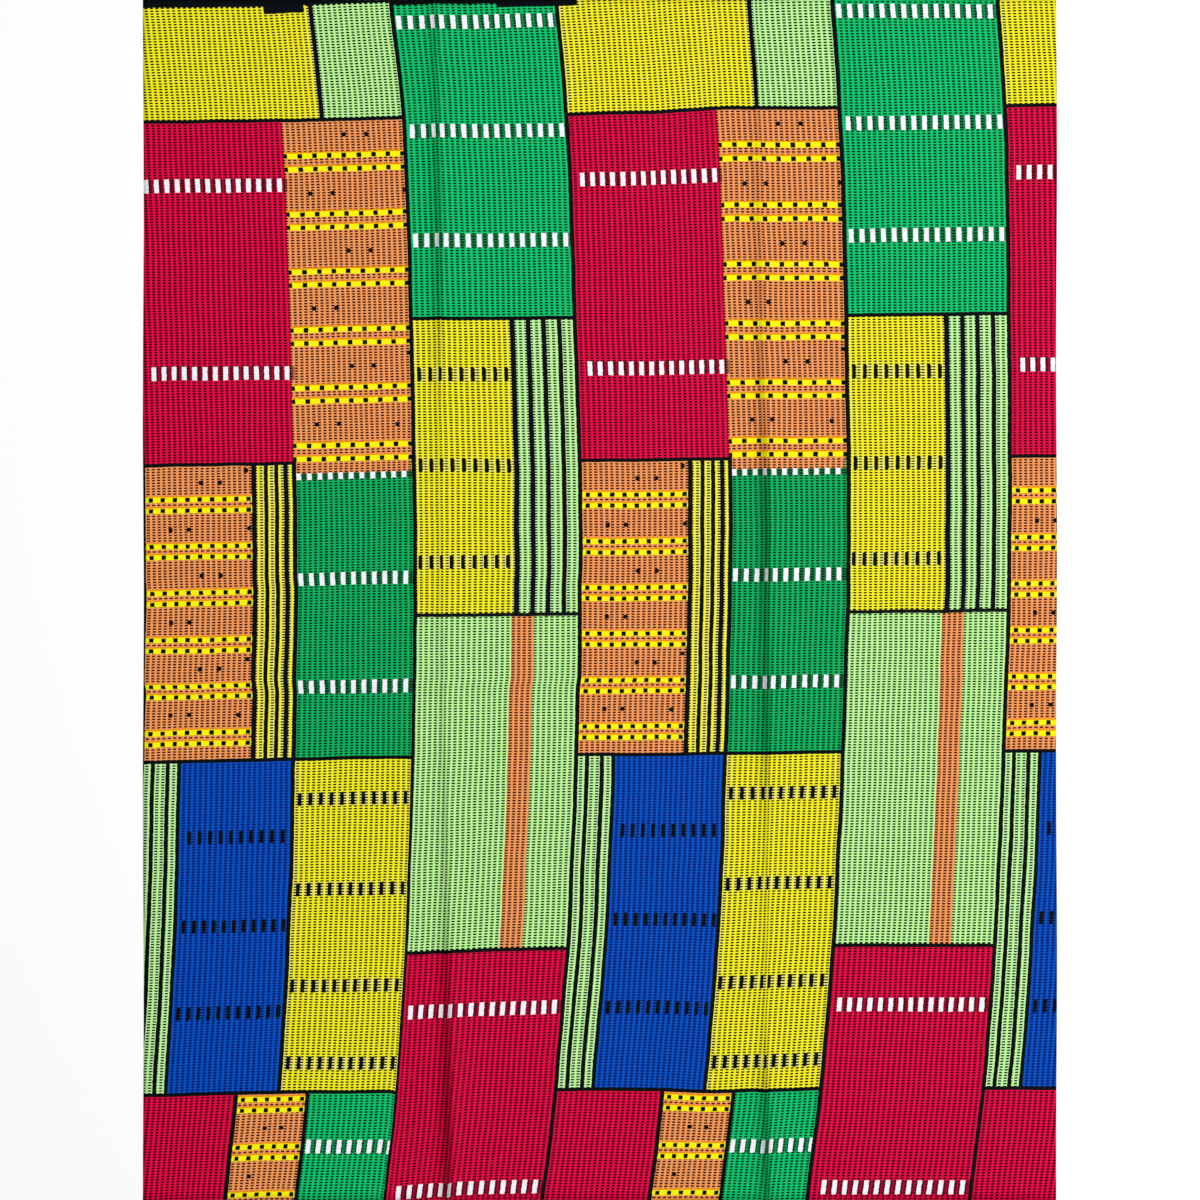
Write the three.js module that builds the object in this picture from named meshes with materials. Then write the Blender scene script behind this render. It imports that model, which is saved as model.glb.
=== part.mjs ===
// A cut length of wax print cotton, lying flat after it was unfolded.
// Millimetres, +Z up. The origin is the middle of the underside, on the surface that the cloth lies on.
// +Y runs along the cloth's length, towards the end with the printed border, and +X across its width.
import * as THREE from "three";

// Driving dimensions
const WIDTH = 760;
const LENGTH = 1000;
const THICKNESS = 1.2;

// The hand-cut edges wander inwards by up to this much, in long waves that start at these shares of a wave.
const EDGE_WANDER = 0.8;
const EDGE_WAVES = 3;
const EDGE_STARTS = { left: 0, right: 0.4, near: 0.2, far: 0.7 };

// The crosswise creases follow the weft, which climbs this much for each millimetre to the right.
const WEFT_CLIMB = 0.012;

// A lengthwise crease stands up as a leaning ridge: a short steep flank on its left, and on its right a
// narrow crest over which this share of its height falls away, and a long easy flank for the rest.
const STEEP = 12;
const CREST = 4.5;
const CREST_SHARE = 0.65;
const EASY = 40;

// The flanks of a lengthwise crease, and those of a crosswise one, fall with these powers of what is left
// of their reach.
const FLANK_POWER = 2;
const CROSS_POWER = 2.4;

// Rows along the two lengthwise creases.
// y: place along the cloth, x: place of the ridge there, height: its height there.
const LENGTHWISE = [
  [
    { y: -500, x: -125.8, height: 8.6 },
    { y: -400, x: -125.9, height: 8.6 },
    { y: -300, x: -126.6, height: 5.8 },
    { y: -205, x: -127.4, height: 3.9 },
    { y: -70, x: -129.8, height: 2.3 },
    { y: 75, x: -132.0, height: 1.5 },
    { y: 150, x: -132.8, height: 1.8 },
    { y: 265, x: -132.9, height: 5.4 },
    { y: 345, x: -134.1, height: 5.6 },
    { y: 440, x: -136.0, height: 4.2 },
    { y: 500, x: -137.2, height: 3.8 },
  ],
  [
    { y: -500, x: 138.8, height: 7.8 },
    { y: -430, x: 138.2, height: 7.6 },
    { y: -350, x: 137.6, height: 2.6 },
    { y: -280, x: 138.6, height: 2.2 },
    { y: -200, x: 139.0, height: 2.6 },
    { y: -100, x: 138.6, height: 6.8 },
    { y: -20, x: 138.3, height: 6.8 },
    { y: 60, x: 138.6, height: 8.6 },
    { y: 130, x: 137.0, height: 6.0 },
    { y: 200, x: 134.6, height: 4.1 },
    { y: 300, x: 132.6, height: 3.2 },
    { y: 400, x: 131.2, height: 2.2 },
    { y: 500, x: 130.0, height: 1.2 },
  ],
];

// Crosswise creases.
// y: place along the cloth at mid width, from and to: the ends of the ridge across, fade: the length over
// which it dies away past each end, reach: how far its foot goes to each side.
const CROSSWISE = [
  { y: -116, from: -150, to: 330, fade: 60, height: 0.8, reach: 12 },
  { y: -68, from: -290, to: 340, fade: 40, height: 1.6, reach: 14 },
  { y: 18, from: -300, to: -60, fade: 60, height: 1.0, reach: 12 },
  { y: 113, from: -290, to: 20, fade: 50, height: 1.4, reach: 12 },
];

// Broad low swells, each an oval hill over the flat cloth.
const SWELLS = [
  { x: -140, y: -15, reachX: 100, reachY: 190, height: 2.6 },
  { x: -140, y: 420, reachX: 90, reachY: 140, height: 1.8 },
  { x: 190, y: 10, reachX: 90, reachY: 150, height: 2.2 },
  { x: 125, y: -430, reachX: 110, reachY: 120, height: 2.4 },
  { x: 255, y: 440, reachX: 80, reachY: 110, height: 1.4 },
];

// Grid: even steps on each stretch between creases, and lines at these shares of a flank's reach.
const SPANS_ACROSS = 5;
const SPANS_ALONG = [9, 2, 4, 4, 9];
const STEEP_SHARES = [0.3, 0.62, 1];
const EASY_SHARES = [0.045, 0.1125, 0.3, 0.6, 1];
const CROSS_SHARES = [0.12, 0.3, 0.58, 1];

// Eases a share between 0 and 1, so that it starts and ends level.
function eased(share) {
  return share * share * (3 - 2 * share);
}

// The value of one column at a place along a table's rows: a cubic through the rows' values, whose slope
// at each row is the slope between its neighbours.
function along(rows, y, column) {
  const last = rows.length - 1;
  const place = THREE.MathUtils.clamp(y, rows[0].y, rows[last].y);
  const next = Math.max(1, rows.findIndex((row) => row.y >= place));
  const slopeAt = (index) => {
    const behind = rows[Math.max(0, index - 1)];
    const ahead = rows[Math.min(last, index + 1)];
    return (ahead[column] - behind[column]) / (ahead.y - behind.y);
  };
  const before = rows[next - 1];
  const after = rows[next];
  const step = after.y - before.y;
  const share = (place - before.y) / step;
  const rest = 1 - share;
  const straight = before[column] * rest * rest * (1 + 2 * share) + after[column] * eased(share);
  return straight + step * share * rest * (slopeAt(next - 1) * rest - slopeAt(next) * share);
}

// What is left of a reach at a distance, from 1 down to 0, raised to a power.
function fall(distance, reach, power) {
  return Math.max(0, 1 - Math.abs(distance) / reach) ** power;
}

// A leaning ridge's section: 1 on its line, steep to the left and easy to the right of it.
function leaningRidge(distance) {
  if (distance < 0) return fall(distance, STEEP, FLANK_POWER);
  const crest = fall(distance, CREST, FLANK_POWER);
  return THREE.MathUtils.lerp(fall(distance, EASY, FLANK_POWER), crest, CREST_SHARE);
}

// How far inwards a cut edge has wandered at a place between 0 and 1 along it.
function wander(share, start) {
  return EDGE_WANDER * (0.5 - 0.5 * Math.cos(2 * Math.PI * (EDGE_WAVES * share + start)));
}

// The climb of the weft fades out towards both cut ends.
function climb(x, y) {
  const end = (2 * y) / LENGTH;
  return WEFT_CLIMB * x * Math.max(0, 1 - end * end);
}

// How high the underside lies above the surface at a point of the cloth.
function lift(x, y) {
  let height = 0;
  for (const rows of LENGTHWISE) {
    height += along(rows, y, "height") * leaningRidge(x - along(rows, y, "x"));
  }
  for (const crease of CROSSWISE) {
    const past = Math.max(crease.from - x, x - crease.to, 0) / crease.fade;
    const distance = y - crease.y - climb(x, crease.y);
    height += crease.height * eased(Math.max(0, 1 - past)) * fall(distance, crease.reach, CROSS_POWER);
  }
  for (const swell of SWELLS) {
    const across = (x - swell.x) / swell.reachX;
    const lengthwise = (y - swell.y) / swell.reachY;
    const inside = Math.max(0, 1 - across * across - lengthwise * lengthwise);
    height += swell.height * inside * inside;
  }
  return height;
}

// Places on one line: even steps on each flat stretch, and closer lines on both flanks of each ridge.
function places(start, end, ridges, steps) {
  const found = [start];
  let from = start;
  ridges.forEach(({ line, before, after }, index) => {
    const flankBefore = before.shares.map((share) => line - before.reach * share).toReversed();
    const flankAfter = after.shares.map((share) => line + after.reach * share);
    for (let step = 1; step < steps[index]; step++) {
      found.push(THREE.MathUtils.lerp(from, flankBefore[0], step / steps[index]));
    }
    found.push(...flankBefore, line, ...flankAfter);
    from = flankAfter.at(-1);
  });
  const left = steps[ridges.length];
  for (let step = 1; step < left; step++) found.push(THREE.MathUtils.lerp(from, end, step / left));
  found.push(end);
  return found;
}

// The grid's lines across the width at one place along the cloth.
function columnsAt(y) {
  const share = y / LENGTH + 0.5;
  const ridges = LENGTHWISE.map((rows) => ({
    line: along(rows, y, "x"),
    before: { reach: STEEP, shares: STEEP_SHARES },
    after: { reach: EASY, shares: EASY_SHARES },
  }));
  const left = -WIDTH / 2 + wander(share, EDGE_STARTS.left);
  const right = WIDTH / 2 - wander(share, EDGE_STARTS.right);
  return places(left, right, ridges, Array(ridges.length + 1).fill(SPANS_ACROSS));
}

// One closed sheet: a grid of points on top, the same grid a thickness below, and a wall round the edge.
function sheetGeometry() {
  const ridges = CROSSWISE.map(({ y, reach }) => {
    const flank = { reach, shares: CROSS_SHARES };
    return { line: y, before: flank, after: flank };
  });
  const rowPlaces = places(-LENGTH / 2, LENGTH / 2, ridges, SPANS_ALONG);
  const upper = [];
  const under = [];
  for (const place of rowPlaces) {
    const xs = columnsAt(place);
    xs.forEach((x, index) => {
      const share = index / (xs.length - 1);
      let y = place + climb(x, place);
      if (place === rowPlaces[0]) y += wander(share, EDGE_STARTS.near);
      if (place === rowPlaces.at(-1)) y -= wander(share, EDGE_STARTS.far);
      const z = lift(x, y);
      upper.push(x, y, z + THICKNESS);
      under.push(x, y, z);
    });
  }
  const rows = rowPlaces.length;
  const columns = upper.length / 3 / rows;
  const total = rows * columns;
  const faces = [];
  const quad = (a, b, c, d) => faces.push(a, b, c, a, c, d);
  for (let row = 0; row < rows - 1; row++) {
    for (let column = 0; column < columns - 1; column++) {
      const a = row * columns + column;
      quad(a, a + 1, a + 1 + columns, a + columns);
      quad(total + a, total + a + columns, total + a + 1 + columns, total + a + 1);
    }
  }
  const wall = (a, b) => quad(b, total + b, total + a, a);
  for (let column = 0; column < columns - 1; column++) {
    const back = (rows - 1) * columns + column;
    wall(column + 1, column);
    wall(back, back + 1);
  }
  for (let row = 0; row < rows - 1; row++) {
    const side = row * columns;
    wall(side, side + columns);
    wall(side + 2 * columns - 1, side + columns - 1);
  }
  const geometry = new THREE.BufferGeometry();
  geometry.setAttribute("position", new THREE.Float32BufferAttribute([...upper, ...under], 3));
  geometry.setIndex(faces);
  geometry.computeVertexNormals();
  return geometry;
}

// The mean colour of the printed blocks, with the low sheen of waxed cotton.
const printedCotton = new THREE.MeshStandardMaterial({
  color: new THREE.Color(0.62, 0.5, 0.16),
  roughness: 0.7,
  metalness: 0,
});

const cloth = new THREE.Mesh(sheetGeometry(), printedCotton);
cloth.name = "cloth";

const fabric = new THREE.Group();
fabric.add(cloth);

export default fabric;
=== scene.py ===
# %% [markdown]
# # A length of wax print cotton
# The object is one cut length of printed cotton, spread out flat after it lay folded in a pile.
# It has no sewing at all, so two things make its look: the lie of the cloth, with its fold creases,
# and the print, whose blocks, bars and dotted bands are laid out on a grid of tiny woven-looking dashes.
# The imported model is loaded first, because the cloth has to lie exactly where its solid lies.

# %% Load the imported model
import math

import bpy
import numpy as np
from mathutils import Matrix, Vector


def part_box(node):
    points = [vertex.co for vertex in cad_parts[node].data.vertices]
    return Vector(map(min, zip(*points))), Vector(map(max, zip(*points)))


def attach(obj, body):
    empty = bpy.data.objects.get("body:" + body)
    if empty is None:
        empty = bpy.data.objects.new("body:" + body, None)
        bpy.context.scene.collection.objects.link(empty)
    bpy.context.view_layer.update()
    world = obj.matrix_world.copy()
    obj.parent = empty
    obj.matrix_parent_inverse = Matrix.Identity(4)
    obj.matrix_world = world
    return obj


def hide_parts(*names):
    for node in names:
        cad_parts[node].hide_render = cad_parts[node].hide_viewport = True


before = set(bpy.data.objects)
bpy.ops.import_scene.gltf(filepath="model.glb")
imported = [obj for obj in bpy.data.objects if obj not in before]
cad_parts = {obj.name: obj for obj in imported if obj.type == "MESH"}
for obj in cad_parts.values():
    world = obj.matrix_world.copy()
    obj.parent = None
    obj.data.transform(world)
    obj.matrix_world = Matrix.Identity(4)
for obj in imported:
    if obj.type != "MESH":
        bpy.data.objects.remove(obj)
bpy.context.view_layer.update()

MM = 0.001
low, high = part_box("cloth")
WIDTH = high.x - low.x
LENGTH = high.y - low.y
print("the cloth's solid is", round(WIDTH / MM), "by", round(LENGTH / MM), "mm")

# %% [markdown]
# ## Smooth lines from a few given places
# Creases and printed seams wander gently. Each is given by a few places along the cloth, and a cubic curve
# runs through them. A straight run between places would show corners, and a spline object would be more
# than a line across a grid needs, so the curve is worked out for all rows at once.

# %% A curve through places
def curve_through(rows, place, column):
    """The cubic through the rows' values, whose slope at each row is the slope between its neighbours."""
    at = np.array([row["y"] for row in rows]) * MM
    value = np.array([row[column] for row in rows]) * MM
    last = len(rows) - 1
    ahead, behind = np.r_[1 : last + 1, last], np.r_[0, 0:last]
    slope = (value[ahead] - value[behind]) / (at[ahead] - at[behind])
    place = np.clip(place, at[0], at[-1])
    index = np.clip(np.searchsorted(at, place) - 1, 0, len(at) - 2)
    step = at[index + 1] - at[index]
    share = (place - at[index]) / step
    left, right = 1 - share, share
    return (
        value[index] * left * left * (1 + 2 * share)
        + value[index + 1] * right * right * (3 - 2 * share)
        + step * share * left * (slope[index] * left - slope[index + 1] * right)
    )


def eased(share):
    """Three times the square less twice the cube: level at 0 and at 1."""
    share = np.clip(share, 0, 1)
    return share * share * (3 - 2 * share)

# %% [markdown]
# ## The folds
# Cotton that was pressed in a pile keeps its fold lines. On this cloth the two lengthwise creases stand up
# as leaning ridges: a short steep flank on the left and a long easy one on the right. The crosswise creases
# are fainter and come and go. Broad low swells lie between them. All are the solid's own sizes, so the
# sheet rides on the same folds, and only the fine wrinkling is added here.

# %% Fold tables
STEEP = 12 * MM
CREST = 4.5 * MM
CREST_SHARE = 0.65
EASY = 40 * MM
FLANK_POWER = 2
CROSS_POWER = 2.4
LENGTHWISE = [
    [
        dict(y=-500, x=-125.8, height=8.6),
        dict(y=-400, x=-125.9, height=8.6),
        dict(y=-300, x=-126.6, height=5.8),
        dict(y=-205, x=-127.4, height=3.9),
        dict(y=-70, x=-129.8, height=2.3),
        dict(y=75, x=-132.0, height=1.5),
        dict(y=150, x=-132.8, height=1.8),
        dict(y=265, x=-132.9, height=5.4),
        dict(y=345, x=-134.1, height=5.6),
        dict(y=440, x=-136.0, height=4.2),
        dict(y=500, x=-137.2, height=3.8),
    ],
    [
        dict(y=-500, x=138.8, height=7.8),
        dict(y=-430, x=138.2, height=7.6),
        dict(y=-350, x=137.6, height=2.6),
        dict(y=-280, x=138.6, height=2.2),
        dict(y=-200, x=139.0, height=2.6),
        dict(y=-100, x=138.6, height=6.8),
        dict(y=-20, x=138.3, height=6.8),
        dict(y=60, x=138.6, height=8.6),
        dict(y=130, x=137.0, height=6.0),
        dict(y=200, x=134.6, height=4.1),
        dict(y=300, x=132.6, height=3.2),
        dict(y=400, x=131.2, height=2.2),
        dict(y=500, x=130.0, height=1.2),
    ],
]
WEFT_CLIMB = 0.012
CROSSWISE = [
    dict(y=-116, start=-150, end=330, fade=60, height=0.8, reach=12),
    dict(y=-68, start=-290, end=340, fade=40, height=1.6, reach=14),
    dict(y=18, start=-300, end=-60, fade=60, height=1.0, reach=12),
    dict(y=113, start=-290, end=20, fade=50, height=1.4, reach=12),
]
SWELLS = [
    dict(x=-140, y=-15, across=100, along=190, height=2.6),
    dict(x=-140, y=420, across=90, along=140, height=1.8),
    dict(x=190, y=10, across=90, along=150, height=2.2),
    dict(x=125, y=-430, across=110, along=120, height=2.4),
    dict(x=255, y=440, across=80, along=110, height=1.4),
]
print(len(LENGTHWISE), "lengthwise creases,", len(CROSSWISE), "crosswise,", len(SWELLS), "swells")

# %% How high the cloth lies
def climb(x, y):
    """The weft's climb to the right, fading out towards both cut ends."""
    return WEFT_CLIMB * x * np.maximum(0, 1 - (2 * y / LENGTH) ** 2)


def leaning_ridge(distance):
    """One on the ridge's line. Left of it the height falls with a power of what is left of the steep flank's
    reach; right of it one share falls so over the crest, and the rest over the easy flank."""
    left = np.clip(1 + distance / STEEP, 0, 1) ** FLANK_POWER
    crest = np.clip(1 - distance / CREST, 0, 1) ** FLANK_POWER
    easy = np.clip(1 - distance / EASY, 0, 1) ** FLANK_POWER
    return np.where(distance < 0, left, CREST_SHARE * crest + (1 - CREST_SHARE) * easy)


def lift(x, y):
    """The height of the underside: the sum of the ridges, crosswise creases and swells at each point."""
    height = np.zeros_like(x)
    for places in LENGTHWISE:
        distance = x - curve_through(places, y, "x")
        height += curve_through(places, y, "height") * leaning_ridge(distance)
    for crease in CROSSWISE:
        past = np.maximum(np.maximum(crease["start"] * MM - x, x - crease["end"] * MM), 0)
        distance = y - crease["y"] * MM - climb(x, crease["y"] * MM)
        ridge = np.clip(1 - np.abs(distance) / (crease["reach"] * MM), 0, 1) ** CROSS_POWER
        height += crease["height"] * MM * eased(1 - past / (crease["fade"] * MM)) * ridge
    for swell in SWELLS:
        across = (x / MM - swell["x"]) / swell["across"]
        along = (y / MM - swell["y"]) / swell["along"]
        height += swell["height"] * MM * np.maximum(0, 1 - across**2 - along**2) ** 2
    return height

# %% [markdown]
# ## Fine wrinkling
# Between the creases real cotton is never glassy: soft wrinkles a few centimetres long catch the light.
# Noise could displace the mesh in a modifier, but a sum of a few dozen seeded waves is just as irregular
# and is known exactly at every point. It only lifts the cloth, so nothing sinks into the table.

# %% Wrinkles
WRINKLE_HEIGHT = 0.5 * MM
WRINKLE_LENGTHS = (26 * MM, 90 * MM)
WRINKLE_WAVES = 40


def wrinkles(x, y):
    """A sum of plane waves of seeded direction, length and start, each as high as it is long,
    scaled so that it lies between zero and the wrinkle height."""
    draw = np.random.default_rng(7)
    total = np.zeros_like(x)
    for _ in range(WRINKLE_WAVES):
        length = draw.uniform(*WRINKLE_LENGTHS)
        turn, start = draw.uniform(0, 2 * np.pi, 2)
        total += length * np.cos(2 * np.pi * (x * np.cos(turn) + y * np.sin(turn)) / length + start)
    total -= total.min()
    return WRINKLE_HEIGHT * total / total.max()

# %% [markdown]
# ## The grid of the sheet
# The sheet is a grid of points whose lines run along the creases, close together on the steep flanks and
# wide apart on the flat cloth. A regular grid would need far more faces to hold a sharp crease, and
# would still cut across it. Each stretch between two fences has its own number of steps.

# %% Lines of the grid
def shares(steps, power=1.0):
    """Even steps from 0 up to, but not including, 1, raised to a power that crowds them to one end."""
    return (np.arange(steps) / steps) ** power


def crowd_to_end(steps, power):
    """The same steps turned round, crowded towards 1."""
    return 1 - (np.arange(steps, 0, -1) / steps) ** power


def spread(fences, stretches):
    """Points between neighbouring fences: each fence plus its shares of the way to the next one."""
    parts = [
        fences[..., k, None] + share * (fences[..., k + 1, None] - fences[..., k, None])
        for k, share in enumerate(stretches)
    ]
    return np.concatenate(parts + [fences[..., -1:]], axis=-1)


EDGE_WANDER = 0.8 * MM
EDGE_WAVES = 3
EDGE_STARTS = dict(left=0, right=0.4, near=0.2, far=0.7)


def wander(share, start):
    """How far inwards a cut edge has wandered: a raised cosine in long waves."""
    return EDGE_WANDER * (0.5 - 0.5 * np.cos(2 * np.pi * (EDGE_WAVES * share + start)))


CROWDING = 1.5
CREASE_STEPS = 6
FIRST_STEPS = 44
STEPS_BEYOND = (4, 10, 14, 64)
row_fences = [-LENGTH / 2]
row_stretches = [shares(FIRST_STEPS)]
for crease, steps in zip(CROSSWISE, STEPS_BEYOND):
    middle, reach = crease["y"] * MM, crease["reach"] * MM
    row_fences += [middle - reach, middle, middle + reach]
    row_stretches += [crowd_to_end(CREASE_STEPS, CROWDING), shares(CREASE_STEPS, CROWDING), shares(steps)]
rows = spread(np.array(row_fences + [LENGTH / 2]), row_stretches)

share_along = rows / LENGTH + 0.5
line_a, line_b = (curve_through(places, rows, "x") for places in LENGTHWISE)
fences = np.stack(
    [
        -WIDTH / 2 + wander(share_along, EDGE_STARTS["left"]),
        line_a - STEEP,
        line_a,
        line_a + EASY,
        line_b - STEEP,
        line_b,
        line_b + EASY,
        WIDTH / 2 - wander(share_along, EDGE_STARTS["right"]),
    ],
    axis=-1,
)
flank_left, flank_right = shares(14), shares(24, 1.6)
X = spread(fences, [shares(46), flank_left, flank_right, shares(44), flank_left, flank_right, shares(42)])
share_across = (X - X[:, :1]) / (X[:, -1:] - X[:, :1])
Y = rows[:, None] + climb(X, rows[:, None])
Y[0] += wander(share_across[0], EDGE_STARTS["near"])
Y[-1] -= wander(share_across[-1], EDGE_STARTS["far"])
Z = lift(X, Y) + wrinkles(X, Y)
print("grid of", X.shape[0], "by", X.shape[1], "points; highest", round(Z.max() / MM, 1), "mm")

# %% [markdown]
# ## Print coordinates
# The print was laid by rollers on flat cloth, before it was folded. Each point of the sheet therefore gets
# two numbers: its column and its row in the print. Four things bend them. The cloth lies slightly bowed
# and tapered, so the first printed seam's path is given at a few places, and the pitch of the columns
# shrinks evenly along the length. Each ridge has taken up a few millimetres of cloth, which stand on its
# steep sides and look narrow from above. Between the folds the threads have slipped by up to a row or
# two, as limp cotton does when it is smoothed by hand. And each crosswise crease has pulled a small kink
# into the lines that cross it. A simulated cloth would slip too, but never in these same places, so the
# slip is given at a few places, in columns and rows, and runs smoothly between them.

# %% Columns and rows of the print
COLUMN_FAR = 4.556 * MM
COLUMN_NEAR = 4.393 * MM
ROW = 2.3083 * MM
ROW_CLIMB = 0.0115
ROW_CLIMB_FAR = 0.009
FAR_REACH = 167 * MM
SEAM = [
    dict(y=-500, x=-180.0),
    dict(y=-408, x=-169.2),
    dict(y=-250, x=-160.0),
    dict(y=17, x=-154.2),
    dict(y=250, x=-158.4),
    dict(y=400, x=-163.4),
    dict(y=500, x=-173.4),
]

TAKEN_UP = [
    dict(y=-500, first=2.2, second=2.9),
    dict(y=-400, first=1.7, second=3.5),
    dict(y=-250, first=2.3, second=3.8),
    dict(y=-100, first=2.0, second=2.6),
    dict(y=100, first=1.3, second=2.4),
    dict(y=250, first=2.0, second=1.9),
    dict(y=400, first=2.8, second=1.5),
    dict(y=500, first=2.6, second=2.4),
]
SLIP_PLACES = (-51, -20, -0.6, 1.0, 14, 30, 45, 60, 81, 119)
SLIP = [
    dict(
        y=-500,
        columns=(-0.21, -0.28, -0.17, 0.57, 0.42, 0.02, -0.15, -0.06, 0.13, -0.60),
        rows=(0.68, 1.56, 0.96, -1.05, 0.69, 1.01, 0.51, 0.30, -0.47, -1.27),
    ),
    dict(
        y=-400,
        columns=(0.14, -0.17, -0.07, 0.78, 0.58, 0.19, 0.05, 0.19, 0.12, -0.33),
        rows=(0.75, 1.57, 1.24, -0.28, 0.99, 1.26, 1.19, 0.17, 0.79, -0.16),
    ),
    dict(
        y=-250,
        columns=(0.02, -0.31, -0.11, 0.54, -0.02, -0.48, -0.67, -0.40, -0.42, -0.36),
        rows=(0.38, 0.93, 0.97, 0.35, 1.02, 1.55, 1.57, 1.03, 1.50, 0.66),
    ),
    dict(
        y=-100,
        columns=(-0.04, -0.24, -0.04, 0.32, -0.16, -0.58, -0.52, -0.27, -0.18, 0.20),
        rows=(-0.46, 0.24, 0.47, 0.22, 0.52, 0.55, 0.38, 0.36, 0.51, -0.01),
    ),
    dict(
        y=100,
        columns=(-0.34, -0.25, 0.18, 0.23, -0.20, -0.49, -0.45, -0.17, -0.01, 0.48),
        rows=(-1.22, -0.96, -0.44, -0.34, -0.67, -1.02, -1.23, -1.08, -1.34, -1.36),
    ),
    dict(
        y=250,
        columns=(-0.49, -0.37, 0.05, 0.23, -0.20, -0.20, -0.20, 0.18, 0.13, 0.48),
        rows=(-1.18, -1.24, -0.84, -0.53, -0.80, -0.83, -1.01, -0.46, -1.02, -1.11),
    ),
    dict(
        y=400,
        columns=(-0.50, -0.13, 0.20, 0.41, 0.02, 0.05, 0.19, 0.52, 0.35, 0.43),
        rows=(-1.16, -1.27, -0.88, -0.27, -0.51, -0.41, 0.01, 1.12, 0.51, 0.63),
    ),
    dict(
        y=500,
        columns=(-0.68, -0.15, 0.45, 0.45, -0.37, -0.02, 0.15, 0.35, -0.21, -0.03),
        rows=(0.33, -0.18, 0.69, 0.44, 0.10, 0.48, 0.91, 1.93, 1.56, -0.10),
    ),
]
KINK_REACH = 28 * MM
KINK_WIDTH = 5 * MM
KINK_PLACES = (-330, -240, -160, -75, 0, 75, 180, 270, 340)
KINKS = [
    dict(
        y=-68,
        columns=(0.51, 0.21, -0.06, -0.35, -0.28, -0.02, -0.03, 0.01, 0.00),
        rows=(-0.48, -0.17, 0.05, -0.16, -0.10, -0.05, -0.37, -0.53, -0.21),
    ),
    dict(
        y=18,
        columns=(0.16, 0.22, 0.00, -0.20, -0.08, -0.04, -0.06, 0.02, 0.07),
        rows=(-0.21, -0.51, -0.29, 0.02, 0.00, -0.05, -0.04, -0.01, -0.05),
    ),
    dict(
        y=113,
        columns=(-0.12, -0.07, -0.05, 0.14, 0.03, 0.02, -0.06, -0.04, -0.03),
        rows=(-0.03, -0.27, -0.38, -0.20, -0.32, -0.13, -0.13, -0.31, -0.24),
    ),
]


def crossing(distance):
    """The share of a ridge's spare cloth that lies left of a point: half on either steep side, each as the
    cube of what is left of that side's reach."""
    left = np.clip(1 + distance / STEEP, 0, 1) ** 3 / 2
    right = np.clip(1 - distance / CREST, 0, 1) ** 3 / 2
    return np.where(distance < 0, left, 1 - right)


def slipped(value, kind):
    """A column or row number plus the slip there: straight between the places across, and a cubic along."""
    total = value.copy()
    for k, pick in enumerate(np.eye(len(SLIP_PLACES))):
        rows = [dict(y=row["y"], slip=row[kind][k]) for row in SLIP]
        total += np.interp(U_EVEN, SLIP_PLACES, pick) * curve_through(rows, Y, "slip") / MM
    return total


def kinked(kind):
    """The slip beside crosswise creases: it grows towards a crease, changes sign over it and dies away."""
    total = np.zeros_like(X)
    for kink in KINKS:
        distance = Y - kink["y"] * MM - climb(X, kink["y"] * MM)
        shape = np.tanh(distance / KINK_WIDTH) * np.exp(-np.abs(distance) / KINK_REACH) / 2
        total += np.interp(X / MM, KINK_PLACES, kink[kind]) * shape
    return total


from_seam = X - curve_through(SEAM, Y, "x")
column_pitch = COLUMN_NEAR + (COLUMN_FAR - COLUMN_NEAR) * (Y / LENGTH + 0.5)
U_EVEN = from_seam / column_pitch
spare = np.zeros_like(X)
for line, name in zip((line_a, line_b), ("first", "second")):
    spare += curve_through(TAKEN_UP, Y, name) * crossing(X - line[:, None])
from_far = LENGTH / 2 - Y
row_climb = ROW_CLIMB + ROW_CLIMB_FAR * np.maximum(0, 1 - from_far / FAR_REACH) ** 2
U = slipped((from_seam + spare) / column_pitch, "columns") + kinked("columns")
V = slipped((from_far + row_climb * X) / ROW, "rows") + kinked("rows")
print("columns", U.min().round(1), "to", U.max().round(1))
print("rows", V.min().round(1), "to", V.max().round(1))

# %% [markdown]
# ## How near the folds are
# Along each ridge the colour is painted a little darker: painted shade for the sharp fold, which shades
# itself.
# Two more values go with each point for it: how far it lies from the nearest ridge, and how high that ridge
# stands.

# %% Distance and ridge height
to_a, to_b = ((X - line[:, None]) / MM for line in (line_a, line_b))
heights = [curve_through(places, Y, "height") / MM for places in LENGTHWISE]
NEAREST = np.where(np.abs(to_a) < np.abs(to_b), to_a, to_b)
RIDGE_HEIGHT = np.where(np.abs(to_a) < np.abs(to_b), *heights)
print("ridges from", RIDGE_HEIGHT.min().round(1), "to", RIDGE_HEIGHT.max().round(1), "mm high")

# %% [markdown]
# ## The sheet as a closed mesh
# Cotton this fine is a few tenths of a millimetre thick. A Solidify modifier would do, but here both faces
# are the same grid a thickness apart, so the closed mesh is written straight from the arrays, with one
# wall round the edge. The print goes right through wax print cloth, so both faces share its coordinates.

# %% Build the sheet
COTTON = 0.45 * MM


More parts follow.
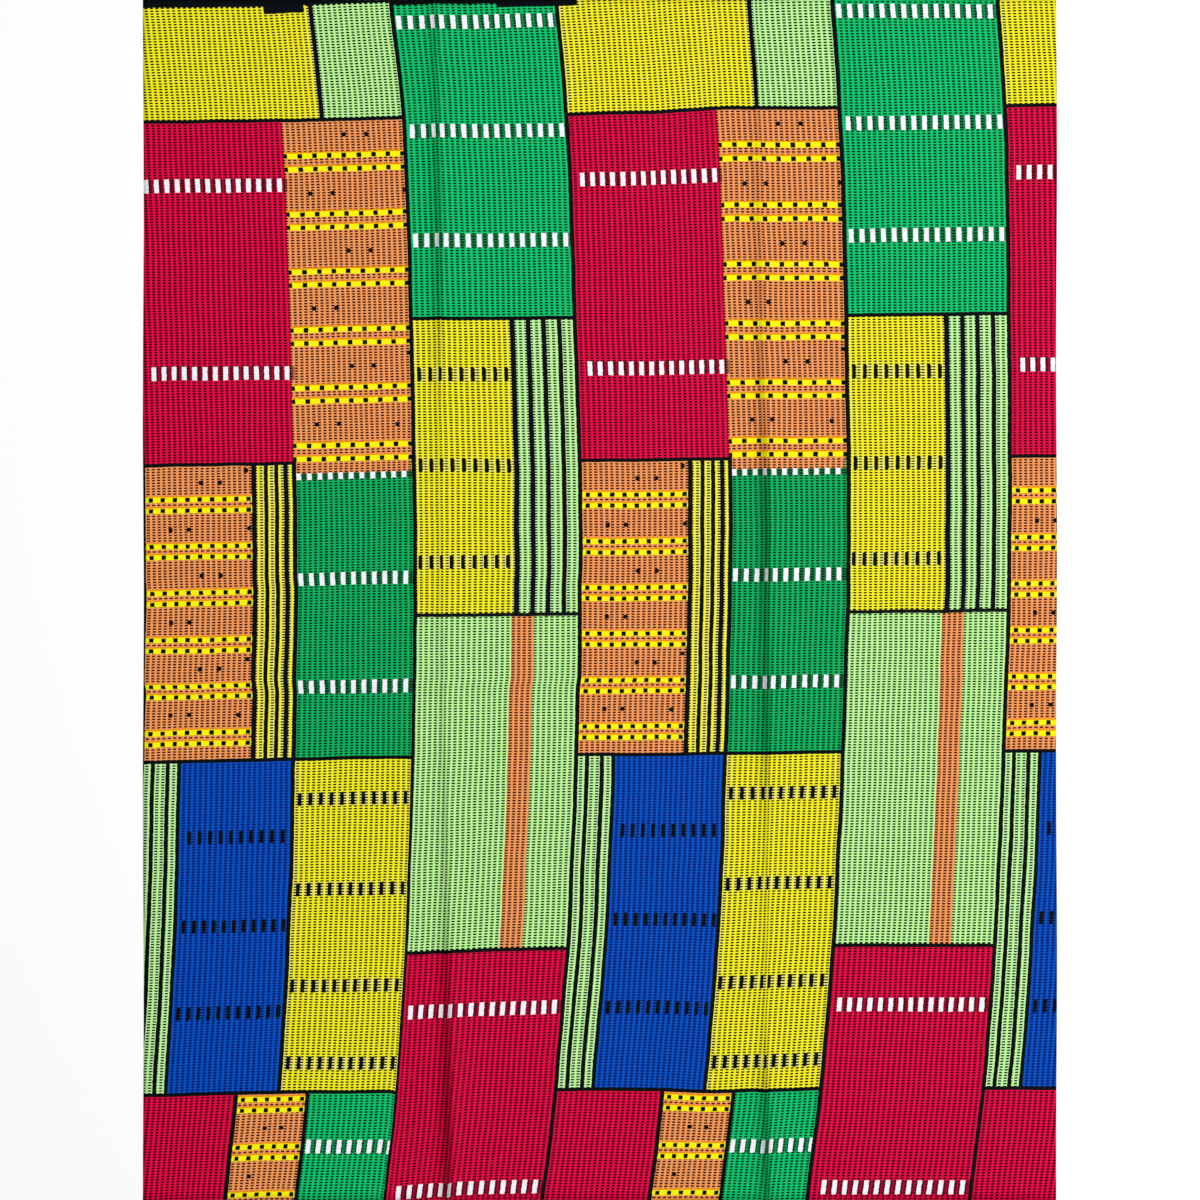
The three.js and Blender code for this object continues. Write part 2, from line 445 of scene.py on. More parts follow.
def closed_sheet(name, x, y, z, thickness):
    """A grid of quads on top, the same grid turned over below it, and a wall of quads along the rim."""
    rows, columns = x.shape
    top = np.stack([x, y, z + thickness], axis=-1).reshape(-1, 3)
    under = np.stack([x, y, z], axis=-1).reshape(-1, 3)
    index = np.arange(rows * columns).reshape(rows, columns)
    a, b, c, d = index[:-1, :-1], index[:-1, 1:], index[1:, 1:], index[1:, :-1]
    upper = np.stack([a, b, c, d], axis=-1).reshape(-1, 4)
    lower = np.stack([a, d, c, b], axis=-1).reshape(-1, 4) + index.size
    rim = np.concatenate([index[0], index[1:, -1], index[-1, -2::-1], index[-2::-1, 0]])
    ahead = np.roll(rim, -1)[:-1]
    rim = rim[:-1]
    wall = np.stack([rim, rim + index.size, ahead + index.size, ahead], axis=-1)
    mesh = bpy.data.meshes.new(name)
    faces = np.concatenate([upper, lower, wall])
    mesh.from_pydata(np.concatenate([top, under]).tolist(), [], faces.tolist())
    mesh.polygons.foreach_set("use_smooth", np.ones(len(faces), bool))
    sheet = bpy.data.objects.new(name, mesh)
    bpy.context.scene.collection.objects.link(sheet)
    return sheet


def give_map(sheet, name, across, along):
    """Writes one value pair for each point of the grid to the corners that use it, on both faces."""
    mesh = sheet.data
    corner = np.empty(len(mesh.loops), np.int32)
    mesh.loops.foreach_get("vertex_index", corner)
    pairs = np.stack([across, along], axis=-1).reshape(-1, 2)
    pairs = np.concatenate([pairs, pairs])[corner]
    mesh.uv_layers.new(name=name).data.foreach_set("uv", pairs.astype(np.float32).ravel())


sheet = closed_sheet("printed_cotton", X, Y, Z, COTTON)
give_map(sheet, "Print", U, V)
# The Crease map carries what the painted shade along the ridges needs: distance to the nearest ridge and its
# height.
give_map(sheet, "Crease", NEAREST, RIDGE_HEIGHT)
sheet.data.validate()
print("sheet of", len(sheet.data.polygons), "quads")

# %% [markdown]
# ## Small helpers for shader nodes
# The print is a drawing made of rules: inside this rectangle the dye is yellow, every second column is a
# bar. Rules are plain arithmetic on the print coordinates, so nearly all nodes are Math nodes. These
# helpers place a node, connect what is a socket and type in what is a number.

# %% Node helpers
def put(tree, kind, **settings):
    """A new node with its settings."""
    node = tree.nodes.new(kind)
    for name, value in settings.items():
        setattr(node, name, value)
    return node


def feed(tree, socket, value):
    """Links a socket to the input, or sets the input's own number or colour."""
    if isinstance(value, bpy.types.NodeSocket):
        tree.links.new(value, socket)
    else:
        socket.default_value = value


def calc(tree, operation, *values):
    """One Math node on up to three values."""
    node = put(tree, "ShaderNodeMath", operation=operation)
    for socket, value in zip(node.inputs, values):
        feed(tree, socket, value)
    return node.outputs[0]


def blend(tree, share, below, above):
    """A colour mixed from two by a share."""
    node = put(tree, "ShaderNodeMix", data_type="RGBA")
    for name, value in (("Factor_Float", share), ("A_Color", below), ("B_Color", above)):
        feed(tree, next(s for s in node.inputs if s.identifier == name), value)
    return next(s for s in node.outputs if s.identifier == "Result_Color")


def new_group(name, inputs, outputs):
    """An empty shader group with named float inputs and outputs, and its two end nodes."""
    group = bpy.data.node_groups.new(name, "ShaderNodeTree")
    for label in inputs:
        group.interface.new_socket(label, in_out="INPUT", socket_type="NodeSocketFloat")
    for label in outputs:
        group.interface.new_socket(label, in_out="OUTPUT", socket_type="NodeSocketFloat")
    return group, put(group, "NodeGroupInput").outputs, put(group, "NodeGroupOutput").inputs


def use(tree, group, **values):
    """Places a group and feeds its inputs by name, with a blank for each underscore."""
    node = put(tree, "ShaderNodeGroup", node_tree=group)
    for name, value in values.items():
        feed(tree, node.inputs[name.replace("_", " ")], value)
    return node.outputs

# %% [markdown]
# ## Shapes of the print
# Three shapes come back all over the design. A bar row is a run of short bars at an even pitch. Dotted
# bands are pairs of plain lines with square dots, again and again down a block. Specks are pairs of dots
# that step left and right from one pair of bands to the next. Each is a node group that gives masks, so
# the tables further down can use it as often as the cloth does.

# %% Bar row
BARS, at, out = new_group("Bar row", ["u", "Start", "Count", "Pitch", "Bar width"], ["Bar", "Run"])
per_pitch = calc(BARS, "DIVIDE", 1.0, at["Pitch"])
place = calc(BARS, "MULTIPLY", calc(BARS, "SUBTRACT", at["u"], at["Start"]), per_pitch)
half_bar = calc(BARS, "MULTIPLY", calc(BARS, "MULTIPLY", at["Bar width"], per_pitch), 0.5)
half_run = calc(BARS, "MULTIPLY", at["Count"], 0.5)
in_run = calc(BARS, "COMPARE", place, half_run, half_run)
in_bar = calc(BARS, "COMPARE", calc(BARS, "FRACT", place), half_bar, half_bar)
feed(BARS, out["Bar"], calc(BARS, "MULTIPLY", in_bar, in_run))
feed(BARS, out["Run"], in_run)

# %% Dotted bands
BAND_INPUTS = ["u", "v", "First", "Pair pitch", "Apart", "Half band", "Dot start", "Dot pitch", "Half dot"]
BANDS, at, out = new_group("Dotted bands", BAND_INPUTS, ["Band", "Shade", "Dot"])
first_low = calc(BANDS, "SUBTRACT", at["First"], 4.0)
pair = calc(BANDS, "WRAP", at["v"], calc(BANDS, "ADD", first_low, at["Pair pitch"]), first_low)
half_apart = calc(BANDS, "MULTIPLY", at["Apart"], 0.5)
middle = calc(BANDS, "ADD", at["First"], half_apart)
from_middle = calc(BANDS, "ABSOLUTE", calc(BANDS, "SUBTRACT", pair, middle))
from_above = calc(BANDS, "ABSOLUTE", calc(BANDS, "SUBTRACT", pair, calc(BANDS, "SUBTRACT", middle, 1.15)))
dot_end = calc(BANDS, "ADD", at["Dot start"], at["Dot pitch"])
dot_middle = calc(BANDS, "MULTIPLY_ADD", at["Dot pitch"], 0.5, at["Dot start"])
beat = calc(BANDS, "WRAP", at["u"], dot_end, at["Dot start"])
dot_u = calc(BANDS, "COMPARE", beat, dot_middle, at["Half dot"])
dot_v = calc(BANDS, "COMPARE", from_middle, half_apart, calc(BANDS, "MULTIPLY", at["Half dot"], 1.9))
feed(BANDS, out["Band"], calc(BANDS, "COMPARE", from_middle, half_apart, at["Half band"]))
feed(BANDS, out["Shade"], calc(BANDS, "COMPARE", from_above, half_apart, 0.35))
feed(BANDS, out["Dot"], calc(BANDS, "MULTIPLY", dot_u, dot_v))

# %% Specks
SPECK_INPUTS = ["u", "v", "First", "Pitch", "Home", "Swing", "Apart", "Half u", "Half v"]
SPECKS, at, out = new_group("Specks", SPECK_INPUTS, ["Mask"])
half_pitch = calc(SPECKS, "MULTIPLY", at["Pitch"], 0.5)
middle = calc(SPECKS, "ADD", at["First"], half_pitch)
low_end = calc(SPECKS, "SUBTRACT", at["First"], half_pitch)
high_end = calc(SPECKS, "ADD", middle, at["Pitch"])
cycle = calc(SPECKS, "WRAP", at["v"], high_end, low_end)
from_middle = calc(SPECKS, "ABSOLUTE", calc(SPECKS, "SUBTRACT", cycle, middle))
on_v = calc(SPECKS, "COMPARE", from_middle, half_pitch, at["Half v"])
swung = calc(SPECKS, "GREATER_THAN", cycle, middle)
half_apart = calc(SPECKS, "MULTIPLY", at["Apart"], 0.5)
sway = calc(SPECKS, "SUBTRACT", at["Swing"], at["Home"])
centre = calc(SPECKS, "MULTIPLY_ADD", swung, sway, calc(SPECKS, "ADD", at["Home"], half_apart))
from_centre = calc(SPECKS, "ABSOLUTE", calc(SPECKS, "SUBTRACT", at["u"], centre))
on_u = calc(SPECKS, "COMPARE", from_centre, half_apart, at["Half u"])
feed(SPECKS, out["Mask"], calc(SPECKS, "MULTIPLY", on_u, on_v))
print("shape groups:", BARS.name, BANDS.name, SPECKS.name)

# %% [markdown]
# ## The chart
# The design runs in strips along the cloth: a narrow one and a wide one, over and over. Each strip is a
# stack of tiers, and each tier is a row of blocks that meet at thin black lines or edge to edge. Above the
# first tier lies the plain black border, from which two tabs hang down. An image would hold the same
# design, but it would blur close up. So tables give every side in the print's own columns and rows,
# counted from the strip's left seam and from the far end of the cloth.

# %% Tiers of blocks
NARROW = 30.5
REPEAT = 81.0
DYES = ["yellow", "light green", "green", "deep green", "red", "blue", "orange", "black"]
SEAMS = (0.3, 30.57)
SEAM_HALF = 0.4
CROSS_HALF = 0.65
FRINGE = 0.6
TIERS = {
    "narrow": [
        dict(top=1.2, blocks=[(0, "green")], lines=[]),
        dict(
            top=113.9,
            blocks=[(0, "yellow"), (19.0, "light green")],
            lines=[(19.0, 0.48), (21.97, 0.43), (24.78, 0.42), (27.68, 0.42)],
        ),
        dict(top=221.45, blocks=[(0, "light green"), (18.1, "orange"), (22.25, "light green")], lines=[]),
        dict(top=343.4, blocks=[(0, "red")], lines=[]),
    ],
    "wide": [
        dict(top=0.3, blocks=[(0, "yellow"), (35.5, "light green")], lines=[(35.55, 0.42)]),
        dict(top=41.2, blocks=[(0, "red"), (28.05, "orange")], lines=[]),
        dict(
            top=165.1,
            blocks=[(0, "orange"), (20.65, "yellow"), (28.2, "deep green")],
            lines=[(20.65, 0.45), (22.91, 0.38), (24.88, 0.38), (26.64, 0.42), (28.19, 0.4)],
        ),
        dict(
            top=273.0,
            blocks=[(0, "light green"), (6.96, "blue"), (28.15, "yellow")],
            lines=[(2.08, 0.39), (4.83, 0.39), (6.96, 0.37), (28.15, 0.39)],
        ),
        dict(
            top=394.1,
            blocks=[(0, "red"), (20.2, "orange"), (33.6, "green")],
            lines=[(20.2, 0.42), (33.63, 0.38)],
        ),
    ],
}
TONGUE = dict(left=28.6, right=50.3, top=164.3, bottom=169.0)

# %% Bar rows
WHITE_BAR = dict(ink="white", width=0.87, half=2.43)
SHORT_BAR = dict(ink="white", width=0.88, half=1.2)
BLACK_BAR = dict(ink="black", width=0.95, half=2.4)
BAR_ROWS = [
    dict(
        strip="narrow", rows=[(7.6, 0), (46.7, 0.45), (85.9, 0.25)], start=0.92, count=15, pitch=1.984,
        **WHITE_BAR,
    ),
    dict(
        strip="narrow", rows=[(134.1, 0), (167.0, -0.05), (202.0, -0.27)], start=1.22, count=9, pitch=2.0,
        **BLACK_BAR,
    ),
    dict(strip="narrow", rows=[(364.5, 0)], start=1.87, count=15, pitch=1.905, **WHITE_BAR),
    dict(strip="narrow", rows=[(428.6, 0)], start=2.67, count=14, pitch=1.987, **WHITE_BAR),
    dict(strip="wide", rows=[(64.5, 0), (132.2, 0.25)], start=1.87, count=14, pitch=1.895, **WHITE_BAR),
    dict(strip="wide", rows=[(170.0, 0)], start=28.55, count=11, pitch=1.99, **SHORT_BAR),
    dict(strip="wide", rows=[(207.5, 0), (246.9, 0.07)], start=28.77, count=11, pitch=1.985, **WHITE_BAR),
    dict(strip="wide", rows=[(301.0, 0)], start=8.76, count=10, pitch=1.92, **BLACK_BAR),
    dict(strip="wide", rows=[(333.4, 0.2), (364.8, 0)], start=8.05, count=11, pitch=1.855, **BLACK_BAR),
    dict(
        strip="wide", rows=[(287.6, 0), (320.5, 0), (355.6, -0.25), (383.7, -0.07)], start=29.15, count=11,
        pitch=1.99, **BLACK_BAR,
    ),
    dict(strip="wide", rows=[(413.8, 0)], start=34.27, count=9, pitch=1.95, **WHITE_BAR),
]
print(sum(len(bars["rows"]) for bars in BAR_ROWS), "bar rows")

# %% Bands and specks
BAND_BLOCKS = [
    dict(block=(28.05, 50.4, 41.8, 169.0), bands=(54.1, 20.95, 4.8), dots=(26.83, 2.75, 0.44)),
    dict(block=(0.35, 20.3, 165.6, 272.4), bands=(177.7, 17.0, 3.95), dots=(0.37, 2.26, 0.42)),
    dict(block=(20.5, 33.3, 394.6, 450), bands=(396.6, 17.1, 3.9), dots=(20.44, 2.22, 0.4)),
]
SPECK_BLOCKS = [
    dict(block=(28.2, 50.2, 43, 160), specks=(46.7, 20.9), homes=(39.4, 32.5, 4.2)),
    dict(block=(0.4, 20.2, 168, 262), specks=(171.7, 16.9), homes=(10.8, 5.1, 3.45)),
]
LONE_SPECKS = [
    (26.1, 407.0), (29.2, 407.0), (24.2, 424.1), (19.2, 167.5), (19.7, 188.4), (19.4, 236.0), (17.7, 256.6),
    (50.3, 67.3), (50.2, 126.0), (47.8, 151.7),
]
SPECK_U, SPECK_V = 0.4, 0.75
BAND_HALF = 0.97
TABS = [(-23.8, -16.2, 2.9), (19.4, 34.5, 2.7)]

# %% [markdown]
# ## The printed cotton material
# The chart is painted as a stack, as a printer lays one colour over another. First comes a number for the
# dye of each block, then masks for white bars, black marks and bands, and at the end the colours
# are looked up and laid over each other. Mixing whole colours block by block would need many more nodes.

# %% Start the material and read the print coordinates
cotton = bpy.data.materials.new("printed cotton")
cotton.use_nodes = True
tree = cotton.node_tree
tree.nodes.clear()
uv = put(tree, "ShaderNodeUVMap", uv_map="Print").outputs["UV"]


def split(socket):
    """The three parts of a colour or vector."""
    node = put(tree, "ShaderNodeSeparateXYZ")
    feed(tree, node.inputs[0], socket)
    return node.outputs


def noise(scale, detail):
    """A noise over the print whose scale is given for columns and for rows, as three channels."""
    stretch = put(tree, "ShaderNodeMapping")
    feed(tree, stretch.inputs["Vector"], uv)
    stretch.inputs["Scale"].default_value = (*scale, 1)
    node = put(tree, "ShaderNodeTexNoise", noise_dimensions="2D")
    feed(tree, node.inputs["Vector"], stretch.outputs[0])
    node.inputs["Scale"].default_value = 1.0
    node.inputs["Detail"].default_value = detail
    return split(node.outputs["Color"])


def shaken(value, drift, reach):
    """A coordinate moved by a noise channel between minus and plus its reach."""
    return calc(tree, "ADD", value, calc(tree, "MULTIPLY_ADD", drift, 2 * reach, -reach))


flat = split(uv)
DRIFT_U, DRIFT_V = 0.18, 0.3
EDGE_U, EDGE_V = 0.09, 0.16
drift = noise((0.1, 0.04), 1.0)
u_all = shaken(flat[0], drift[0], DRIFT_U)
v_all = shaken(flat[1], drift[1], DRIFT_V)
u_cell = calc(tree, "ABSOLUTE", calc(tree, "SUBTRACT", calc(tree, "FRACT", u_all), 0.5))
v_cell = calc(tree, "ABSOLUTE", calc(tree, "SUBTRACT", calc(tree, "FRACT", v_all), 0.5))
edge = noise((1.1, 0.9), 1.0)
u_edge = shaken(u_all, edge[0], EDGE_U)
v = shaken(v_all, edge[1], EDGE_V)
first_side = SEAMS[0] - SEAM_HALF
u = calc(tree, "WRAP", u_edge, REPEAT + first_side, first_side)

# %% Painting helpers
def choose(share, below, above):
    """A number mixed from two by a share."""
    node = put(tree, "ShaderNodeMix", data_type="FLOAT")
    for name, value in (("Factor_Float", share), ("A_Float", below), ("B_Float", above)):
        feed(tree, next(s for s in node.inputs if s.identifier == name), value)
    return next(s for s in node.outputs if s.identifier == "Result_Float")


def near(value, middle, half):
    """One where a value lies within half a width of a middle."""
    return calc(tree, "COMPARE", value, middle, half)


def patch(left, right, top, bottom, across):
    """The mask of a rectangle given by its four sides."""
    in_u = near(across, (left + right) / 2, (right - left) / 2)
    return calc(tree, "MULTIPLY", in_u, near(v, (top + bottom) / 2, (bottom - top) / 2))


def first_column(strip):
    """A strip's first column within the repeat."""
    return NARROW if strip == "wide" else 0.0

# %% Paint each strip's tiers
def paint_blocks(start, blocks):
    """A dye number that changes by a step at the left side of each further block."""
    dye = float(DYES.index(blocks[0][1]))
    for (_, before), (left, name) in zip(blocks, blocks[1:]):
        past = calc(tree, "GREATER_THAN", u, start + left)
        dye = calc(tree, "MULTIPLY_ADD", past, float(DYES.index(name) - DYES.index(before)), dye)
    return dye


def paint_lines(start, lines, extra):
    """A mask of upright lines, each given by its place and half its width, with an extra margin beside it."""
    mask = 0.0
    for place, half in lines:
        mask = calc(tree, "MAXIMUM", near(u, start + place, half + extra), mask)
    return mask


def paint_strip(strip):
    """A strip's dye numbers, black lines and their pale fringes: each tier is laid over the ones before it,
    from its top on."""
    start = first_column(strip)
    dye, black, fringe = float(DYES.index("black")), 0.0, 0.0
    for tier in TIERS[strip]:
        below_top = calc(tree, "GREATER_THAN", v, tier["top"])
        dye = choose(below_top, dye, paint_blocks(start, tier["blocks"]))
        black = choose(below_top, black, paint_lines(start, tier["lines"], 0.0))
        fringe = choose(below_top, fringe, paint_lines(start, tier["lines"], FRINGE))
    for tier in TIERS[strip][1:]:
        black = calc(tree, "MAXIMUM", near(v, tier["top"], CROSS_HALF), black)
    return dye, black, fringe


in_wide = calc(tree, "GREATER_THAN", u, NARROW)
dye, black, fringe = (choose(in_wide, *pair) for pair in zip(paint_strip("narrow"), paint_strip("wide")))
tongue = patch(NARROW + TONGUE["left"], NARROW + TONGUE["right"], TONGUE["top"], TONGUE["bottom"], u)
dye = choose(tongue, dye, float(DYES.index("orange")))
black = calc(tree, "SUBTRACT", black, tongue)
for seam in SEAMS:
    black = calc(tree, "MAXIMUM", near(u, seam, SEAM_HALF), black)
    fringe = calc(tree, "MAXIMUM", near(u, seam, SEAM_HALF + FRINGE), fringe)
for left, right, depth in TABS:
    black = calc(tree, "MAXIMUM", patch(left, right, -5.0, depth, u_edge), black)

# %% [markdown]
# ## Bars, bands and specks
# Across the blocks run rows of short bars. The white ones are clean, but the black ones are printed over
# the dashes, so their sides have teeth: they are wider at each dash and narrower between two. A jagged
# edge could come from noise, but here it has the beat of the rows. Bands and specks are black dots laid
# over yellow lines and over the bare ground.

# %% Paint the bar rows
TOOTH = 0.6
white, white_run = 0.0, 0.0
for bars in BAR_ROWS:
    in_rows, u_rows = 0.0, u
    for row, shift in bars["rows"]:
        in_row = near(v, row, bars["half"])
        in_rows = calc(tree, "ADD", in_row, in_rows)
        if shift:
            u_rows = calc(tree, "MULTIPLY_ADD", in_row, -shift, u_rows)
    start = first_column(bars["strip"]) + bars["start"]
    width = bars["width"]
    if bars["ink"] == "black":
        width = calc(tree, "MULTIPLY_ADD", v_cell, -TOOTH, width)
    bar, run = use(
        tree, BARS, u=u_rows, Start=start, Count=float(bars["count"]), Pitch=bars["pitch"], Bar_width=width
    )
    if bars["ink"] == "white":
        white = calc(tree, "MULTIPLY_ADD", bar, in_rows, white)
        white_run = calc(tree, "MULTIPLY_ADD", run, in_rows, white_run)
    else:
        black = calc(tree, "MAXIMUM", calc(tree, "MULTIPLY", bar, in_rows), black)
        fringe = calc(tree, "MULTIPLY_ADD", run, in_rows, fringe)

# %% Paint the bands and specks
band, band_shade = 0.0, 0.0
for block in BAND_BLOCKS:
    left, right, top, bottom = block["block"]
    inside = patch(NARROW + left, NARROW + right, top, bottom, u)
    first, pair_pitch, apart = block["bands"]
    dot_start, dot_pitch, half_dot = block["dots"]
    line, shade, dot = use(
        tree, BANDS, u=u, v=v, First=first, Pair_pitch=pair_pitch, Apart=apart, Half_band=BAND_HALF,
        Dot_start=NARROW + dot_start, Dot_pitch=dot_pitch, Half_dot=half_dot,
    )
    band = calc(tree, "MULTIPLY_ADD", line, inside, band)
    band_shade = calc(tree, "MULTIPLY_ADD", shade, inside, band_shade)
    black = calc(tree, "MULTIPLY_ADD", dot, inside, black)
for block in SPECK_BLOCKS:
    left, right, top, bottom = block["block"]
    inside = patch(NARROW + left, NARROW + right, top, bottom, u)
    home, swing, apart = block["homes"]
    specks = use(
        tree, SPECKS, u=u, v=v, First=block["specks"][0], Pitch=block["specks"][1], Home=NARROW + home,
        Swing=NARROW + swing, Apart=apart, Half_u=SPECK_U, Half_v=SPECK_V,
    )[0]
    black = calc(tree, "MULTIPLY_ADD", specks, inside, black)
for place, row in LONE_SPECKS:
    place += NARROW
    speck = patch(place - SPECK_U, place + SPECK_U, row - SPECK_V, row + SPECK_V, u)
    black = calc(tree, "MAXIMUM", speck, black)
black = calc(tree, "MINIMUM", black, 1.0)

# %% [markdown]
# ## Dashes and dyes
# The ground of every block is the same grid of short dark dashes between bright ribs, which imitates a
# woven strip. A dash is a rounded box in the middle of its cell. Between two dashes of a column the dye is
# a little different from the rib, and beside black lines and bars it is paler, because the layers of a
# print never quite meet. The print is never even, so every dash differs in size.

# %% The dash in each cell
DASH_HALF_U = 0.326
DASH_HALF_V = 0.288
DASH_CHANCE = 0.2
whole = put(tree, "ShaderNodeVectorMath", operation="FLOOR")
joined = put(tree, "ShaderNodeCombineXYZ")
feed(tree, joined.inputs[0], u_all)
feed(tree, joined.inputs[1], v_all)
feed(tree, whole.inputs[0], joined.outputs[0])
chance = put(tree, "ShaderNodeTexWhiteNoise", noise_dimensions="2D")
feed(tree, chance.inputs["Vector"], whole.outputs[0])
across = calc(tree, "POWER", calc(tree, "MULTIPLY", u_cell, 1 / DASH_HALF_U), 3.0)
along = calc(tree, "POWER", calc(tree, "MULTIPLY", v_cell, 1 / DASH_HALF_V), 3.0)
size = calc(tree, "MULTIPLY_ADD", chance.outputs["Value"], DASH_CHANCE, calc(tree, "ADD", across, along))
soften = put(tree, "ShaderNodeMapRange")
feed(tree, soften.inputs["Value"], size)
for name, value in (("From Min", 1.0), ("From Max", 1.35), ("To Min", 1.0), ("To Max", 0.0)):
    feed(tree, soften.inputs[name], value)
dash = soften.outputs[0]
in_column = calc(tree, "LESS_THAN", u_cell, DASH_HALF_U)

# %% Dyes
LIGHT = 1.1


def dye_colour(red, green, blue):
    """A colour as the eye reads it, from 0 to 255, turned into the share of light that it reflects."""
    share = np.array([red, green, blue]) / 255
    light = np.where(share < 0.04045, share / 12.92, ((share + 0.055) / 1.055) ** 2.4) / LIGHT
    return (*light.tolist(), 1)


INK = dye_colour(4, 10, 14)
CHALK = dye_colour(246, 246, 253)
BAND_YELLOW = dye_colour(255, 246, 0)
BAND_SHADE = dye_colour(238, 150, 10)
DYE_COLOURS = {
    "yellow": ((250, 243, 0), (252, 246, 60), (34, 20, 0)),
    "light green": ((190, 250, 148), (192, 252, 162), (0, 14, 0)),
    "green": ((2, 200, 115), (16, 198, 110), (0, 26, 0)),
    "deep green": ((2, 182, 101), (16, 180, 96), (0, 20, 0)),
    "red": ((242, 0, 72), (214, 6, 66), (34, 0, 0)),
    "blue": ((0, 84, 201), (0, 74, 180), (0, 14, 98)),
    "orange": ((252, 157, 88), (242, 154, 94), (44, 0, 0)),
}

rib, gap, mark = INK, INK, INK
for name, (on_rib, in_gap, in_dash) in DYE_COLOURS.items():
    chosen = near(dye, float(DYES.index(name)), 0.4)
    rib = blend(tree, chosen, rib, dye_colour(*on_rib))
    gap = blend(tree, chosen, gap, dye_colour(*in_gap))
    mark = blend(tree, chosen, mark, dye_colour(*in_dash))
print("dyes:", ", ".join(DYE_COLOURS))

# %% [markdown]
# ## One colour from all the layers
# The layers go over each other in the order of printing: ground, dashes, bands, white and last black. Then
# two things dim the result a little: the uneven dyeing, and painted shade along the ridge of each fold,
# strongest on the ridge line and gone a few millimetres beside it.

# %% Lay the colours over each other
# Painted shade along each ridge: how far it reaches from the ridge line, in mm, and how much it darkens per
# mm of ridge height.
CREASE_SHADE_REACH = 4.5
CREASE_SHADE_DEPTH = 0.055
PALE_SHARE = 0.24
RUN_SHARE = 0.6
UNEVEN = 0.16
on_light = calc(tree, "LESS_THAN", dye, DYES.index("light green") + 0.5)
pale_share = calc(tree, "MULTIPLY", calc(tree, "MULTIPLY", fringe, on_light), PALE_SHARE)
gap = blend(tree, pale_share, gap, CHALK)
ground = blend(tree, in_column, rib, gap)
ground = blend(tree, dash, ground, mark)
ground = blend(tree, calc(tree, "MULTIPLY", white_run, RUN_SHARE), ground, mark)
ground = blend(tree, band_shade, ground, BAND_SHADE)
ground = blend(tree, band, ground, BAND_YELLOW)
ground = blend(tree, white, ground, CHALK)
ground = blend(tree, black, ground, INK)
streaks = noise((0.35, 1.6), 2.0)
# Painted shade on the folds: darker the higher the ridge, fading to nothing a few millimetres beside its
# line.
from_ridge, pressed = split(put(tree, "ShaderNodeUVMap", uv_map="Crease").outputs["UV"])[:2]
off_line = calc(tree, "ABSOLUTE", from_ridge)
crease_shade_share = calc(tree, "MAXIMUM", calc(tree, "MULTIPLY_ADD", off_line, -1 / CREASE_SHADE_REACH, 1.0), 0.0)
crease_shade_depth = calc(tree, "MULTIPLY", calc(tree, "MULTIPLY", pressed, CREASE_SHADE_DEPTH), crease_shade_share)
evenness = calc(tree, "MULTIPLY_ADD", streaks[2], UNEVEN, 1 - UNEVEN / 2)
tint = put(tree, "ShaderNodeVectorMath", operation="SCALE")
feed(tree, tint.inputs[0], ground)
feed(tree, tint.inputs["Scale"], calc(tree, "SUBTRACT", evenness, crease_shade_depth))

# %% [markdown]
# ## Cotton under the print
# Plain weave of some thirty threads to the centimetre gives a bump far finer than the print. It is a
# product of two sine waves along the threads. The wax finish leaves the cotton a little smoother than
# raw cloth, but with hardly any mirror shine, or the blacks would turn grey.

# %% Weave and shader
THREADS_PER_COLUMN = 12.0
THREADS_PER_ROW = 6.0
warp = calc(tree, "SINE", calc(tree, "MULTIPLY", flat[0], THREADS_PER_COLUMN * math.pi))
weft = calc(tree, "SINE", calc(tree, "MULTIPLY", flat[1], THREADS_PER_ROW * math.pi))
bump = put(tree, "ShaderNodeBump")
bump.inputs["Strength"].default_value = 0.25
bump.inputs["Distance"].default_value = 0.05 * MM
feed(tree, bump.inputs["Height"], calc(tree, "MULTIPLY", warp, weft))
shader = put(tree, "ShaderNodeBsdfPrincipled")
shader.inputs["Specular IOR Level"].default_value = 0.04
feed(tree, shader.inputs["Base Color"], tint.outputs[0])
feed(tree, shader.inputs["Roughness"], calc(tree, "MULTIPLY_ADD", streaks[1], 0.2, 0.52))
feed(tree, shader.inputs["Normal"], bump.outputs[0])
output = put(tree, "ShaderNodeOutputMaterial")
feed(tree, output.inputs["Surface"], shader.outputs[0])
sheet.data.materials.append(cotton)
print(len(tree.nodes), "nodes in the cotton's material")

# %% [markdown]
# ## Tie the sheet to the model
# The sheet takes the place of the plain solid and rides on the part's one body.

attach(sheet, "root")
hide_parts("cloth")

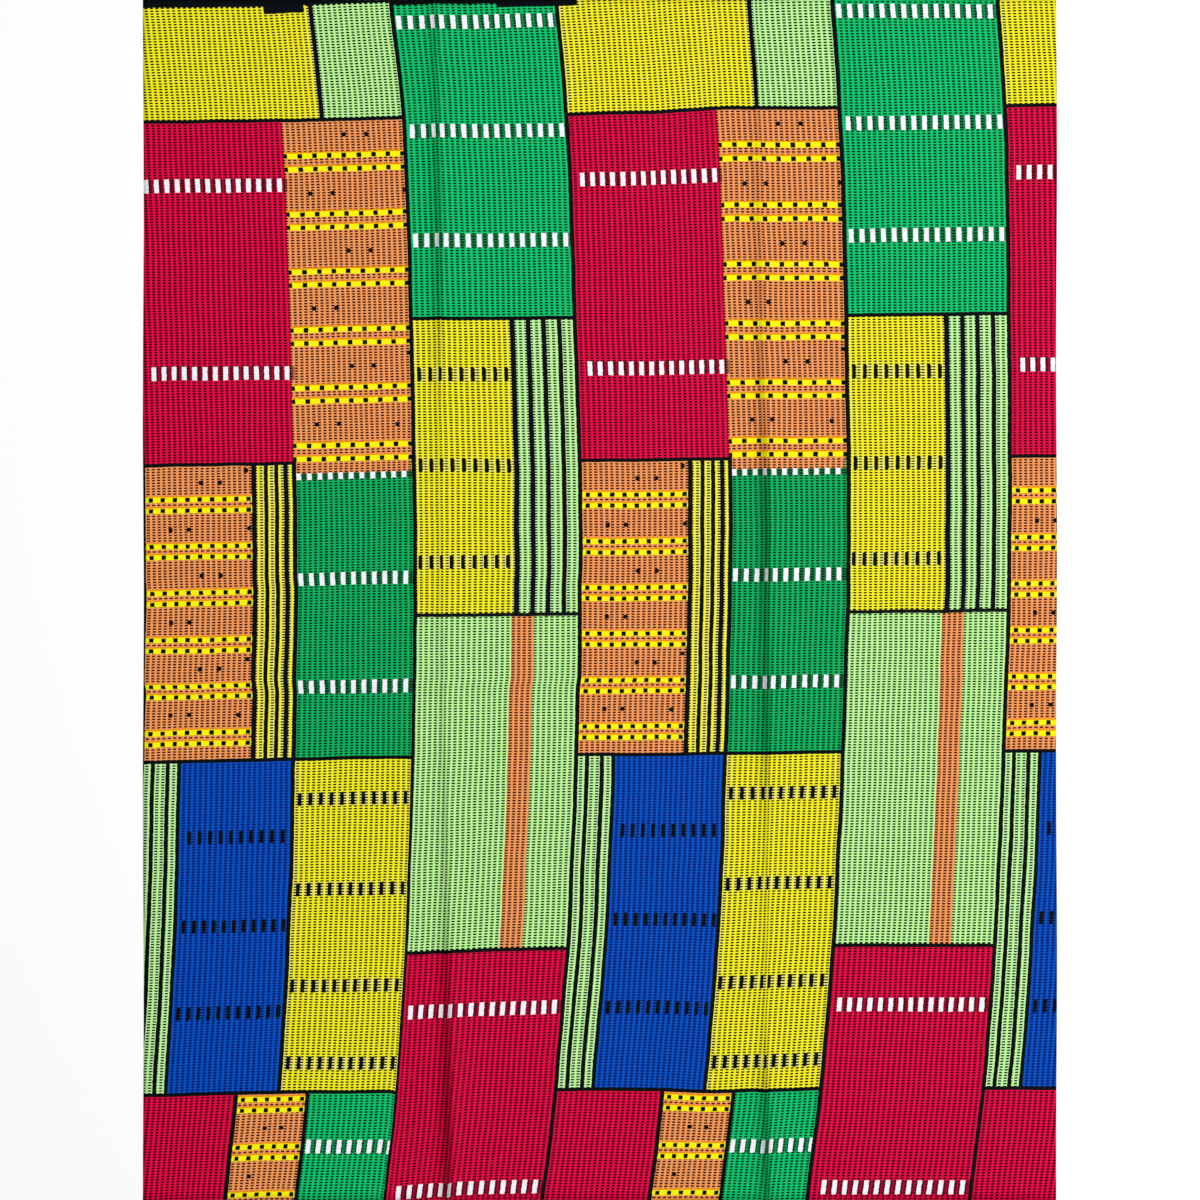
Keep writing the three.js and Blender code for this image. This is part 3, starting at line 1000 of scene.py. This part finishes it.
# %% [markdown]
# ## Table, light and camera
# A white table, a soft lamp from the right that picks out the left flanks of the creases, and an even pale
# sky. The camera looks straight down and frames the cloth's length, but for a millimetre at each end,
# where the cut edges wander.

# %% Table
TABLE_HALF = 6.0
mesh = bpy.data.meshes.new("table")
corners = [(x * TABLE_HALF, y * TABLE_HALF, 0) for x, y in ((-1, -1), (1, -1), (1, 1), (-1, 1))]
mesh.from_pydata(corners, [], [(0, 1, 2, 3)])
table = bpy.data.objects.new("table", mesh)
bpy.context.scene.collection.objects.link(table)
paint = bpy.data.materials.new("white table")
paint.use_nodes = True
paint.node_tree.nodes["Principled BSDF"].inputs["Base Color"].default_value = (0.96, 0.96, 0.96, 1)
paint.node_tree.nodes["Principled BSDF"].inputs["Roughness"].default_value = 0.9
paint.node_tree.nodes["Principled BSDF"].inputs["Specular IOR Level"].default_value = 0.1
mesh.materials.append(paint)

# %% Lights
def lamp(name, place, size, watts):
    """An area lamp that looks at the middle of the cloth."""
    light = bpy.data.lights.new(name, "AREA")
    light.shape = "DISK"
    light.size = size
    light.energy = watts
    thing = bpy.data.objects.new(name, light)
    bpy.context.scene.collection.objects.link(thing)
    thing.location = place
    spin = math.atan2(place[1], place[0]) + math.pi / 2
    thing.rotation_euler = (math.atan2(math.hypot(place[0], place[1]), place[2]), 0, spin)
    return thing


lamp("window", (1.25, 0.42, 3.95), 1.1, 136)
world = bpy.data.worlds.new("pale sky")
world.use_nodes = True
world.node_tree.nodes["Background"].inputs["Color"].default_value = (1, 1, 1, 1)
world.node_tree.nodes["Background"].inputs["Strength"].default_value = 0.36
bpy.context.scene.world = world
bpy.context.scene.view_settings.view_transform = "Standard"

# %% Camera
CAMERA_HEIGHT = 2.6
SENSOR = 36.0
EDGE_MARGIN = 1.0 * MM
lens = bpy.data.cameras.new("camera")
lens.sensor_width = SENSOR
lens.lens = SENSOR * CAMERA_HEIGHT / (LENGTH - 2 * EDGE_MARGIN)
camera = bpy.data.objects.new("camera", lens)
camera.location = (0, 0, CAMERA_HEIGHT)
bpy.context.scene.collection.objects.link(camera)
bpy.context.scene.camera = camera
